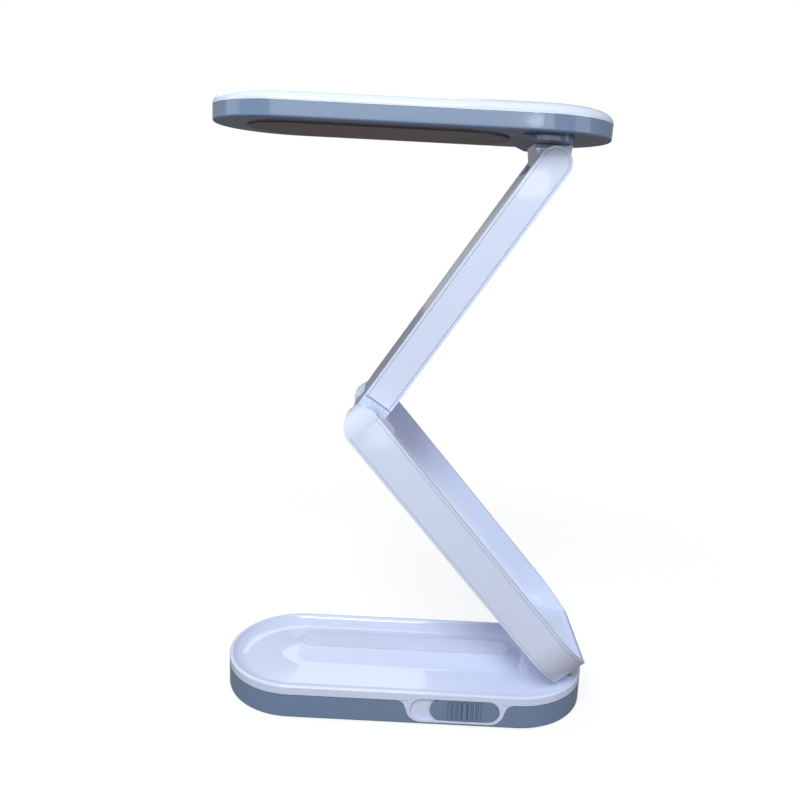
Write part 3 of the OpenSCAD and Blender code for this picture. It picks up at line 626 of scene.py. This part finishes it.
class LAMP_OT_electrics(bpy.types.Operator):
    """Cell, boards, diodes and leads"""

    bl_idname = "lamp.electrics"
    bl_label = "Electrics"

    def execute(self, context):
        board = speckled("Solder mask", context.scene.lamp_colours.board, 0.35, 0.002, 0.00002)
        foil = metal("Cell foil", (0.6, 0.61, 0.63), 0.35)
        sleeve = speckled("Wire sleeve", (0.25, 0.015, 0.012), 0.45, 0.001, 0.00002)
        phosphor = speckled("Diode phosphor", (0.75, 0.55, 0.08), 0.5, 0.0007, 0.00002)
        for name in BOARD_NODES:
            dress(name, board)
        for name in LEAD_NODES:
            dress(name, sleeve)
        dress("battery", foil)
        dress("leds", phosphor)
        return {"FINISHED"}


class LAMP_OT_diffuser(bpy.types.Operator):
    """Frosted light panel under the head, coloured dark brown as painted shade"""

    bl_idname = "lamp.diffuser"
    bl_label = "Diffuser"

    def execute(self, context):
        # Painted shade: the dark brown colour stands in for the shade under the head.
        colour = context.scene.lamp_colours.diffuser
        frosted = speckled("Frosted diffuser", colour, 0.38, 0.0012, 0.00003)
        dress("diffuser", frosted, context.scene.lamp_sizes.edge_radius)
        return {"FINISHED"}


def matte(material, colour):
    """Plain matte surface."""
    return shader_node(material, "ShaderNodeBsdfDiffuse", {"Color": (*colour, 1.0)}).outputs[0]


def mix_shaders(owner, factor, first, second):
    """Mix two shaders."""
    return shader_node(owner, "ShaderNodeMixShader", {0: factor, 1: first, 2: second}).outputs[0]


def seen_directly(owner):
    """1 for rays that come from the camera, also through a clear piece, and 0 for others."""
    path = shader_node(owner, "ShaderNodeLightPath")
    rays = {0: path.outputs["Is Camera Ray"], 1: path.outputs["Is Transmission Ray"]}
    return shader_node(owner, "ShaderNodeMath", rays, operation="MAXIMUM").outputs["Value"]


def floor_material():
    """Pale floor that keeps the lamp's shadow and fades to the white background."""
    material = new_material("Pale floor")
    distance = shader_node(
        material, "ShaderNodeVectorMath", {0: object_place(material)}, operation="LENGTH"
    ).outputs["Value"]
    fade = remap(material, distance, 0.0, 1.0, *FLOOR_FADE, interpolation_type="SMOOTHSTEP")
    glow = shader_node(
        material,
        "ShaderNodeEmission",
        {"Color": PURE_WHITE, "Strength": remap(material, fade, FLOOR_GLOW, 1.0)},
    )
    lit = mix_shaders(material, fade, matte(material, FLOOR_LIT), matte(material, (0.0, 0.0, 0.0)))
    shown = shader_node(material, "ShaderNodeAddShader", {0: lit, 1: glow.outputs[0]})
    bounce = matte(material, FLOOR_BOUNCE)
    both = mix_shaders(material, seen_directly(material), bounce, shown.outputs[0])
    return finish_material(material, both)


def add_floor():
    """A wide disc of floor under the lamp."""
    angles = [math.tau * i / FLOOR_SIDES for i in range(FLOOR_SIDES)]
    rim = [(FLOOR_RADIUS * math.cos(a), FLOOR_RADIUS * math.sin(a), 0) for a in angles]
    faces = [(0, i + 1, (i + 1) % FLOOR_SIDES + 1) for i in range(FLOOR_SIDES)]
    mesh = bpy.data.meshes.new("Floor")
    mesh.from_pydata([(0, 0, 0), *rim], [], faces)
    mesh.materials.append(floor_material())
    floor = bpy.data.objects.new("Floor", mesh)
    bpy.context.scene.collection.objects.link(floor)


def add_world(ambient):
    """Soft light from all round, over a white background."""
    world = bpy.data.worlds.new("Studio")
    world.use_nodes = True
    world.node_tree.nodes.clear()
    bpy.context.scene.world = world
    soft = shader_node(
        world, "ShaderNodeBackground", {"Color": (0.93, 0.96, 1.0, 1.0), "Strength": ambient}
    )
    white = shader_node(world, "ShaderNodeBackground", {"Color": PURE_WHITE})
    both = mix_shaders(world, seen_directly(world), soft.outputs[0], white.outputs[0])
    shader_node(world, "ShaderNodeOutputWorld", {"Surface": both})


def add_light(name, place, size, power, colour):
    """A soft area lamp aimed at the middle of the desk lamp."""
    lamp = bpy.data.lights.new(name, "AREA")
    lamp.shape = "RECTANGLE"
    lamp.size, lamp.size_y = size
    lamp.energy = power
    lamp.color = colour
    light = bpy.data.objects.new(name, lamp)
    light.location = place
    aim = Vector(LIGHT_TARGET) - Vector(place)
    light.rotation_euler = aim.to_track_quat("-Z", "Y").to_euler()
    bpy.context.scene.collection.objects.link(light)


def add_camera(studio):
    """The camera of the photograph."""
    yaw, pitch, roll = studio.yaw, studio.pitch, studio.roll
    level = math.cos(pitch)
    forward = Vector((math.sin(yaw) * level, math.cos(yaw) * level, math.sin(pitch)))
    right = Vector((math.cos(yaw), -math.sin(yaw), 0.0))
    up = right.cross(forward)
    rolled_right = math.cos(roll) * right + math.sin(roll) * up
    rolled_up = -math.sin(roll) * right + math.cos(roll) * up
    camera = bpy.data.objects.new("Camera", bpy.data.cameras.new("Camera"))
    camera.data.lens = studio.lens
    camera.data.clip_start = 0.01
    turn = Matrix((rolled_right, rolled_up, -forward)).transposed().to_4x4()
    camera.matrix_world = Matrix.Translation(studio.camera_place) @ turn
    bpy.context.scene.collection.objects.link(camera)
    bpy.context.scene.camera = camera


class LAMP_OT_studio(bpy.types.Operator):
    """Pale floor, soft light, white background and the photograph's camera"""

    bl_idname = "lamp.studio"
    bl_label = "Studio"

    def execute(self, context):
        studio = context.scene.lamp_studio
        add_floor()
        add_world(studio.ambient)
        for name, place, size, share, colour in LIGHTS:
            add_light(name, place, size, studio.power * share, colour)
        add_camera(studio)
        context.scene.view_settings.view_transform = "Standard"
        return {"FINISHED"}


class LAMP_PT_parts(bpy.types.Panel):
    """Steps that dress the lamp"""

    bl_label = "Folding Desk Lamp"
    bl_idname = "LAMP_PT_parts"
    bl_space_type = "VIEW_3D"
    bl_region_type = "UI"
    bl_category = "Lamp"

    def draw(self, context):
        for step in STEPS:
            self.layout.operator(step.bl_idname)


STEPS = (
    LAMP_OT_shells,
    LAMP_OT_metalwork,
    LAMP_OT_screws,
    LAMP_OT_socket,
    LAMP_OT_pad,
    LAMP_OT_electrics,
    LAMP_OT_diffuser,
    LAMP_OT_studio,
)
GROUPS = {"lamp_colours": LampColours, "lamp_sizes": LampSizes, "lamp_studio": LampStudio}


def register():
    """Register every class, and hang the settings on the scene."""
    for item in (*GROUPS.values(), *STEPS, LAMP_PT_parts):
        bpy.utils.register_class(item)
    for name, group in GROUPS.items():
        setattr(bpy.types.Scene, name, PointerProperty(type=group))


def unregister():
    """Undo register."""
    for name in GROUPS:
        delattr(bpy.types.Scene, name)
    for item in reversed((*GROUPS.values(), *STEPS, LAMP_PT_parts)):
        bpy.utils.unregister_class(item)


def main():
    """Build every piece and the stage."""
    register()
    for step in STEPS:
        group, action = step.bl_idname.split(".")
        getattr(getattr(bpy.ops, group), action)()


if __name__ == "__main__":
    main()
